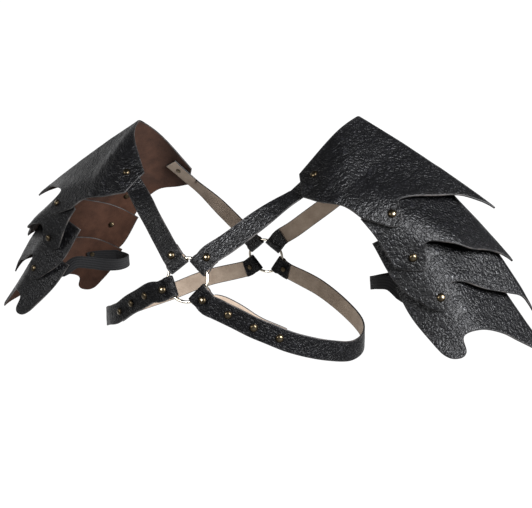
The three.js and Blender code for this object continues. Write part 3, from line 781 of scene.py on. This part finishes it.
class Look:
    """A material with one principled shader, and short ways to build what feeds it."""

    def __init__(self, name):
        self.material = bpy.data.materials.new(name)
        self.material.use_nodes = True
        self.nodes = self.material.node_tree.nodes
        self.links = self.material.node_tree.links
        self.nodes.clear()
        out = self.nodes.new("ShaderNodeOutputMaterial")
        self.shader = self.nodes.new("ShaderNodeBsdfPrincipled")
        self.links.new(self.shader.outputs[0], out.inputs[0])

    def feed(self, socket, value):
        """Links an input to another node's output, or sets the input's own value."""
        if isinstance(value, bpy.types.NodeSocket):
            self.links.new(value, socket)
        elif socket.type == "RGBA":
            socket.default_value = (*value, 1)
        else:
            socket.default_value = value

    def node(self, kind, inputs, **settings):
        node = self.nodes.new(kind)
        for key, value in settings.items():
            setattr(node, key, value)
        for key, value in inputs.items():
            self.feed(node.inputs[key], value)
        return node

    def finish(self, inputs):
        for key, value in inputs.items():
            self.feed(self.shader.inputs[key], value)
        return self.material

    def flat_place(self, squeeze=1):
        """Places on the flat pattern in metres. A squeeze under 1 draws a grain out across it."""
        uv = self.node("ShaderNodeTexCoord", {}).outputs["UV"]
        return self.node("ShaderNodeMapping", {"Vector": uv, "Scale": (1, squeeze, 1)}).outputs[0]

    def own_place(self):
        return self.node("ShaderNodeTexCoord", {}).outputs["Object"]

    def point_value(self, name):
        return self.node("ShaderNodeAttribute", {}, attribute_name=name).outputs["Fac"]

    def noise(self, place, scale, detail, roughness=0.5, output="Fac"):
        inputs = {"Vector": place, "Scale": scale, "Detail": detail, "Roughness": roughness}
        return self.node("ShaderNodeTexNoise", inputs).outputs[output]

    def cells(self, place, scale):
        """Distance to the edges of random cells."""
        inputs = {"Vector": place, "Scale": scale}
        return self.node("ShaderNodeTexVoronoi", inputs, feature="DISTANCE_TO_EDGE").outputs["Distance"]

    def stripes(self, place, direction, scale, distortion):
        inputs = {"Vector": place, "Scale": scale, "Distortion": distortion, "Detail": 1.0}
        node = self.node("ShaderNodeTexWave", inputs, wave_type="BANDS", bands_direction=direction)
        return node.outputs["Fac"]

    def ramp(self, source, *stops):
        """Colours at stops of (value, colour)."""
        node = self.node("ShaderNodeValToRGB", {0: source})
        elements = node.color_ramp.elements
        while len(elements) < len(stops):
            elements.new(0.5)
        for element, (at, colour) in zip(elements, stops):
            element.position = at
            element.color = (*colour, 1)
        return node.outputs[0]

    def smooth(self, source, low, high, to_low=0.0, to_high=1.0):
        """A smooth step from one pair of values to another."""
        inputs = {"Value": source, "From Min": low, "From Max": high, "To Min": to_low, "To Max": to_high}
        return self.node("ShaderNodeMapRange", inputs, interpolation_type="SMOOTHSTEP").outputs[0]

    def maths(self, operation, *values, clamp=False):
        inputs = dict(enumerate(values))
        return self.node("ShaderNodeMath", inputs, operation=operation, use_clamp=clamp).outputs[0]

    def times(self, a, b):
        return self.maths("MULTIPLY", a, b)

    def weighted(self, *rows):
        """The sum of rows of (value, weight)."""
        total = self.times(*rows[0])
        for row in rows[1:]:
            total = self.maths("ADD", total, self.times(*row))
        return total

    def mixed(self, share, a, b):
        node = self.node("ShaderNodeMix", {}, data_type="RGBA")
        sockets = {(socket.name, socket.type): socket for socket in node.inputs}
        self.feed(sockets["Factor", "VALUE"], share)
        self.feed(sockets["A", "RGBA"], a)
        self.feed(sockets["B", "RGBA"], b)
        return next(socket for socket in node.outputs if socket.type == "RGBA")

    def bumped(self, height, strength, distance):
        inputs = {"Height": height, "Strength": strength, "Distance": distance}
        return self.node("ShaderNodeBump", inputs).outputs[0]


# Tones of the black leather, from the bottom of a fold to a worn edge, and the painted shade that darkens
# it round a rivet.
FOLD_BLACK = (0.0016, 0.0016, 0.0019)
SKIN_BLACK = (0.0042, 0.0042, 0.005)
RUBBED_BLACK = (0.012, 0.012, 0.0138)
PATCH_BLACK = (0.003, 0.003, 0.0036)
# Painted shade: the colour the leather is darkened towards round each rivet.
PAINTED_RIVET_SHADE = (0.003, 0.0026, 0.0026)
WORN_GREY = (0.03, 0.029, 0.029)


def black_leather(name, cell, gloss):
    """Black leather whose skin is crinkled into cells of this size in metres."""
    look = Look(name)
    place = look.flat_place()
    warp = look.noise(place, 160.0, 2.0, output="Color")
    inputs = {0: warp, 1: (0.0032, 0.0032, 0.0), 2: place}
    warped = look.node("ShaderNodeVectorMath", inputs, operation="MULTIPLY_ADD").outputs[0]
    # The skin is plump cells, finer pebbles in them, drawn-out creases, and pores.
    plump = look.smooth(look.cells(warped, 1.0 / cell), 0.0, 0.28)
    pebble = look.smooth(look.cells(warped, 2.3 / cell), 0.0, 0.3)
    crease = look.noise(look.flat_place(0.34), 150.0, 4.0, 0.62)
    folds = look.smooth(crease, 0.4, 0.62)
    pores = look.noise(place, 1500.0, 2.0)
    height = look.weighted((plump, 0.6), (pebble, 0.22), (folds, 0.5), (pores, 0.06))
    # Rubbed high places are a little greyer than the folds.
    rub = look.maths("MULTIPLY", plump, folds, clamp=True)
    patch = look.smooth(look.noise(place, 26.0, 3.0), 0.35, 0.7, 0.0, 0.5)
    tone = look.ramp(rub, (0.0, FOLD_BLACK), (0.55, SKIN_BLACK), (1.0, RUBBED_BLACK))
    tone = look.mixed(patch, tone, PATCH_BLACK)
    tone = look.mixed(look.times(look.point_value("edge"), 0.3), tone, WORN_GREY)
    # Painted shade: the leather darkens round each rivet by the shade value of its points.
    tone = look.mixed(look.times(look.point_value("shade"), 0.75), tone, PAINTED_RIVET_SHADE)
    rough = look.smooth(rub, 0.0, 1.0, 0.4, 0.3)
    return look.finish({
        "Base Color": tone,
        "Roughness": look.maths("ADD", rough, look.times(patch, 0.06)),
        "Normal": look.bumped(height, 1.0, 0.0007),
        "Specular IOR Level": gloss,
    })


def napped(name, dark, light, fibres, sheen):
    """Suede or flesh side: a soft nap with this many fibres to a metre."""
    look = Look(name)
    place = look.flat_place()
    fibre = look.noise(place, fibres, 3.0, 0.7)
    share = look.weighted((look.noise(place, 55.0, 5.0, 0.6), 0.6), (fibre, 0.4))
    return look.finish({
        "Base Color": look.ramp(share, (0.32, dark), (0.68, light)),
        "Roughness": 0.92,
        "Normal": look.bumped(fibre, 0.5, 0.0004),
        "Sheen Weight": sheen,
        "Specular IOR Level": 0.2,
    })


def dyed_edge(name):
    """The cut edge: dark dye rubbed through to brown in places."""
    look = Look(name)
    place = look.flat_place()
    rubbed = look.smooth(look.noise(place, 70.0, 4.0), 0.42, 0.68)
    return look.finish({
        "Base Color": look.mixed(rubbed, (0.009, 0.0085, 0.0085), (0.06, 0.052, 0.048)),
        "Roughness": 0.55,
        "Normal": look.bumped(look.noise(place, 900.0, 2.0), 0.4, 0.0003),
    })


def antique_brass(name):
    """Brass from bright to dark by the patina value of its points, with fine spots."""
    look = Look(name)
    spot = look.noise(look.own_place(), 700.0, 3.0)
    spots = look.times(look.maths("SUBTRACT", spot, 0.5), 0.5)
    share = look.maths("ADD", look.point_value("patina"), spots, clamp=True)
    bright, dull = (0.3, 0.25, 0.17), (0.13, 0.1, 0.06)
    dark, black = (0.022, 0.016, 0.01), (0.012, 0.009, 0.006)
    return look.finish({
        "Base Color": look.ramp(share, (0.0, bright), (0.3, dull), (0.75, dark), (1.0, black)),
        "Roughness": look.smooth(share, 0.0, 1.0, 0.2, 0.55),
        "Normal": look.bumped(spot, 0.25, 0.0002),
        "Metallic": 1.0,
    })


def pale_metal(name):
    look = Look(name)
    spot = look.noise(look.own_place(), 260.0, 4.0)
    return look.finish({
        "Base Color": look.ramp(spot, (0.3, (0.62, 0.55, 0.42)), (0.7, (0.83, 0.79, 0.7))),
        "Roughness": look.smooth(spot, 0.3, 0.7, 0.3, 0.16),
        "Normal": look.bumped(spot, 0.12, 0.0002),
        "Metallic": 1.0,
    })


def ribbed_elastic(name):
    look = Look(name)
    place = look.flat_place()
    ribs = look.stripes(place, "Y", 105.0, 0.4)
    picks = look.stripes(place, "X", 190.0, 0.3)
    height = look.weighted((ribs, 0.7), (picks, 0.45))
    return look.finish({
        "Base Color": look.ramp(height, (0.1, (0.003, 0.003, 0.0033)), (1.0, (0.014, 0.014, 0.015))),
        "Roughness": 0.85,
        "Normal": look.bumped(height, 0.8, 0.0005),
        "Sheen Weight": 0.03,
        "Specular IOR Level": 0.2,
    })


leather = black_leather("black_crinkled_leather", 0.0046, 0.3)
strap_leather = black_leather("black_strap_leather", 0.0042, 0.44)
# A shaded copy of the strap leather: the side straps get less gloss so that they look darker, as painted
# shade.
shaded_side_leather = black_leather("side_strap_leather_painted_shade", 0.0042, 0.15)
suede = napped("brown_suede", (0.022, 0.0085, 0.0045), (0.068, 0.03, 0.0175), 900.0, 0.04)
flesh = napped("tan_flesh_side", (0.26, 0.195, 0.145), (0.45, 0.36, 0.28), 1100.0, 0.15)
cut_edge = dyed_edge("dyed_cut_edge")
brass = antique_brass("antique_brass")
wire = pale_metal("pale_plated_wire")
elastic = ribbed_elastic("black_ribbed_elastic")

# Rings and rivets

RIVET_SIDES = 36
RING_SIDES = 96
WIRE_SIDES = 20
# The washer from its middle to its rim: share of its diameter, share of its thickness, patina.
WASHER = [(0, 1, 0.3), (0.25, 0.9, 0.4), (0.43, 0.55, 0.6), (0.5, 0.1875, 0.9), (0.5, 0, 1.0)]
# The cap's rolled rim from below: inset from its edge, height over its seat, patina.
ROLLED_RIM = [(0.25, 0, 1.0), (0, 0.18, 0.95), (0.04, 0.42, 0.8), (0.3, 0.6, 0.75), (0.62, 0.66, 1.0)]
# The dome stands on that rim: its inset and height there, its steps and its patina at the foot.
DOME = dict(inset=0.7, at=0.66, steps=9, patina=0.75, fade=0.8)


def lathe_faces(rings, sides, last=None):
    """Faces round an axis, from point 0 on it, ring by ring, to a last point on it if there is one."""
    faces = []
    top = 1 + (rings - 1) * sides
    for k in range(sides):
        n = (k + 1) % sides
        faces.append((0, 1 + k, 1 + n))
        for low in range(1, top, sides):
            high = low + sides
            faces.append((low + k, high + k, high + n, low + n))
        if last:
            faces.append((top + k, last, top + n))
    return faces


def lathe_angles(sides):
    return [2 * math.pi * k / sides for k in range(sides)]


def rivet_profile(top, bottom):
    """Rows of (radius, height, patina): the washer, the shank, and the domed cap with a rolled rim."""
    back, seat = bottom - CLEAR, top + CLEAR
    rows = [(WASHER_D * wide, back - WASHER_T * deep, patina) for wide, deep, patina in WASHER]
    rows += [(SHANK_D / 2, back, 1.0), (SHANK_D / 2, seat, 1.0)]
    rows += [(CAP_D / 2 - inset, seat + high, patina) for inset, high, patina in ROLLED_RIM]
    for k in range(1, DOME["steps"]):
        share = k / DOME["steps"]
        a = math.pi / 2 * share
        height = seat + DOME["at"] + (CAP_H - DOME["at"]) * math.sin(a)
        patina = DOME["patina"] * (1 - share ** DOME["fade"])
        rows.append(((CAP_D / 2 - DOME["inset"]) * math.cos(a), height, patina))
    rows.append((0, seat + CAP_H, 0.0))
    return rows


def stand_on(points, foot, axis):
    """Points of a shape round +Y, moved to stand on a foot along an axis."""
    # The helper is never nearly parallel to the axis.
    helper = np.array([1.0, 0, 0]) if abs(axis[0]) < 0.8 else np.array([0, 0, 1.0])
    x = unit(np.cross(axis, helper))
    z = np.cross(x, axis)
    return foot + points[:, :1] * x + points[:, 1:2] * axis + points[:, 2:] * z


def node_points(node):
    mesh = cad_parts[node].data
    co = np.zeros(len(mesh.vertices) * 3, np.float32)
    mesh.vertices.foreach_get("co", co)
    return co.reshape(-1, 3).astype(float) * 1000


def build_rivet(side, name, mirror, foot, axis):
    """Stands where its CAD solid stands: the cap's height on the axis is read from that solid."""
    node = f"{side}_{name}"
    height = (node_points(node) * (mirror, 1, 1) - foot) @ axis
    profile = rivet_profile(height.max() - CAP_H - CLEAR, height.min() + WASHER_T + CLEAR)
    points, patina = [(0, profile[0][1], 0)], [profile[0][2]]
    for r, h, shade in profile[1:-1]:
        points += [(r * math.cos(a), h, r * math.sin(a)) for a in lathe_angles(RIVET_SIDES)]
        patina += [shade] * RIVET_SIDES
    points.append((0, profile[-1][1], 0))
    patina.append(profile[-1][2])
    faces = lathe_faces(len(profile) - 2, RIVET_SIDES, len(points) - 1)
    points = stand_on(np.array(points), foot, axis)
    new_piece(node, points, outwards(points, faces, -1, axis), mirror, (brass,),
              {"patina": patina})


def build_ring(node, spec):
    centre, side, up, out = ring_axes(spec)
    major, minor = (RING_OUTER - RING_WIRE) / 2, RING_WIRE / 2
    n, m = RING_SIDES, WIRE_SIDES
    points = []
    for a in lathe_angles(n):
        away = side * math.cos(a) + up * math.sin(a)
        for b in lathe_angles(m):
            points.append(centre + away * (major + minor * math.cos(b)) + out * minor * math.sin(b))
    faces = []
    for i in range(n):
        for j in range(m):
            p, q = (i + 1) % n, (j + 1) % m
            faces.append((i * m + j, p * m + j, p * m + q, i * m + q))
    new_piece(node, points, outwards(points, faces, 0, side), 1, (wire,), {})


# Assembly


def build_side(side, mirror):
    seeds = SEEDS[side]
    for k, name in enumerate(PLATES):
        build_plate(side, name, mirror, seeds["plates"] + PLATE_SEED_STEP * k)
    sweep(f"{side}_arm_strap", arm_route(), BAND_W, BAND_T, mirror, (elastic, elastic, elastic),
          0.0)
    stations, curve, normal_at = side_route(side)
    # The side strap wears the dimmed copy of the strap leather, which paints the shade it stands in.
    sweep(f"{side}_side_strap", stations, STRAP_W, STRAP_T, mirror, (shaded_side_leather, flesh, cut_edge),
          CROWN, strap_lift(seeds["side"]))
    first = SNAP - STRAP_AT
    places = [(f"snap_{k + 1}", curve, normal_at, first + k * SNAP_STEP) for k in range(SNAPS)]
    places.append(("side_rivet_back", curve, normal_at, curve.length - first))
    for end, sign in (("front", -1), ("back", 1)):
        stations, curve, normal_at = upper_route(end)
        sweep(f"{side}_upper_strap_{end}", stations, STRAP_W, STRAP_T, mirror,
              (strap_leather, flesh, cut_edge), CROWN, strap_lift(seeds["upper"] + sign))
        places.append((f"ring_rivet_{end}", curve, normal_at, RING_RIVET - STRAP_AT))
        for name, owner, along, across in PLATE_RIVETS:
            where = (PLATES[owner], np.array(float(along)), np.array(float(sign * across)))
            foot = on_wearer(plate_point(*where))
            build_rivet(side, f"{name}_{end}", mirror, foot, turn_on_wearer(plate_normal(*where)))
    for name, curve, normal_at, gone in places:
        foot = curve.at(gone)
        axis = square_to(normal_at(foot, gone / curve.length), curve.tangent(gone))
        build_rivet(side, name, mirror, foot, axis)


build_ring("front_ring", RING_FRONT)
build_ring("back_ring", RING_BACK)
build_side("left", 1)
build_side("right", -1)

# Floor, light and camera, in metres

# The floor turns up into a wall between a near and a far distance from the middle.
FLOOR = dict(z=-0.62, near=2.6, far=3.6, top=3.2, steps=12, sides=64)
# The paper's own glow: its least and its rise, and its turn round Z to lie behind the part.
GLOW_LEAST = 0.09
GLOW_RISE = 0.9
GLOW_TURN = 21
WORLD_LIGHT = 0.03
EYE = Vector((0.3385, -0.7715, 0.0237))
AZIMUTH = math.radians(21.05)
ELEVATION = math.radians(8.65)
ROLL = math.radians(0.09)
SENSOR = 36.0
FOCAL_PIXELS = 700
PICTURE_PIXELS = 532


def studio_paper():
    """Grey paper that glows nearly white in a low wedge behind the part and only a little elsewhere."""
    look = Look("pale_floor")
    turn = {"Vector": look.own_place(), "Rotation": (0, 0, -math.radians(GLOW_TURN))}
    split = look.node("ShaderNodeSeparateXYZ", {0: look.node("ShaderNodeMapping", turn).outputs[0]})
    x, y, z = split.outputs
    behind = look.smooth(y, -0.4, 0.3)
    spread = look.times(look.maths("ADD", y, 0.84), 0.5)
    wedge = look.smooth(look.maths("SUBTRACT", spread, look.maths("ABSOLUTE", x)), -0.8, 0.0)
    low = look.smooth(z, 1.0, 1.35, 1.0, 0.0)
    glow = look.times(look.times(look.times(behind, wedge), low), GLOW_RISE)
    return look.finish({
        "Base Color": (0.1, 0.1, 0.101),
        "Roughness": 0.95,
        "Specular IOR Level": 0.1,
        "Emission Color": (1, 1, 1),
        "Emission Strength": look.maths("ADD", glow, GLOW_LEAST),
    })


def backdrop():
    """A floor that turns up into a wall all round, far below and behind the part."""
    near, bend = FLOOR["near"], FLOOR["far"] - FLOOR["near"]
    profile = [(near, FLOOR["z"])]
    for k in range(1, FLOOR["steps"] + 1):
        a = math.radians(90 * k / FLOOR["steps"])
        profile.append((near + bend * math.sin(a), FLOOR["z"] + bend * (1 - math.cos(a))))
    profile.append((FLOOR["far"], FLOOR["top"]))
    points = [(0, 0, FLOOR["z"])]
    for r, z in profile:
        points += [(r * math.cos(a), r * math.sin(a), z) for a in lathe_angles(FLOOR["sides"])]
    mesh = bpy.data.meshes.new("floor")
    mesh.from_pydata(points, [], lathe_faces(len(profile), FLOOR["sides"]))
    mesh.polygons.foreach_set("use_smooth", np.ones(len(mesh.polygons), bool))
    mesh.materials.append(studio_paper())
    mesh.update()
    obj = show("floor", mesh)


def soft_box(name, at, aim, size, watts, colour=(1, 1, 1)):
    data = bpy.data.lights.new(name, "AREA")
    data.shape = "RECTANGLE"
    data.size, data.size_y = size
    data.energy = watts
    data.color = colour
    obj = show(name, data)
    obj.location = at
    obj.rotation_euler = (Vector(aim) - Vector(at)).to_track_quat("-Z", "Y").to_euler()


backdrop()
soft_box("key", at=(1.53, -0.9, 0.6), aim=(0.15, 0, -0.08), size=(0.8, 0.8), watts=96,
         colour=(0.96, 0.97, 1.0))
soft_box("front", at=(-0.95, -2.0, 0.62), aim=(0, 0, -0.1), size=(0.8, 0.5), watts=26)
soft_box("side", at=(-1.9, 0.2, 0.7), aim=(-0.1, 0, -0.1), size=(0.8, 0.8), watts=2)

world = bpy.data.worlds.new("studio")
bpy.context.scene.world = world
world.use_nodes = True
world.node_tree.nodes["Background"].inputs[0].default_value = (1, 1, 1, 1)
world.node_tree.nodes["Background"].inputs[1].default_value = WORLD_LIGHT

level = math.cos(ELEVATION)
look_along = Vector((-math.sin(AZIMUTH) * level, math.cos(AZIMUTH) * level, -math.sin(ELEVATION)))
camera_data = bpy.data.cameras.new("camera")
camera_data.sensor_fit = "HORIZONTAL"
camera_data.sensor_width = SENSOR
camera_data.lens = FOCAL_PIXELS / PICTURE_PIXELS * SENSOR
camera_data.clip_start = 0.02
camera_data.clip_end = 50
camera = show("camera", camera_data)
camera.location = EYE
camera.rotation_euler = look_along.to_track_quat("-Z", "Y").to_euler()
camera.rotation_euler.rotate_axis("Z", -ROLL)
bpy.context.scene.camera = camera

bpy.context.scene.view_settings.view_transform = "Standard"

bpy.context.view_layer.update()
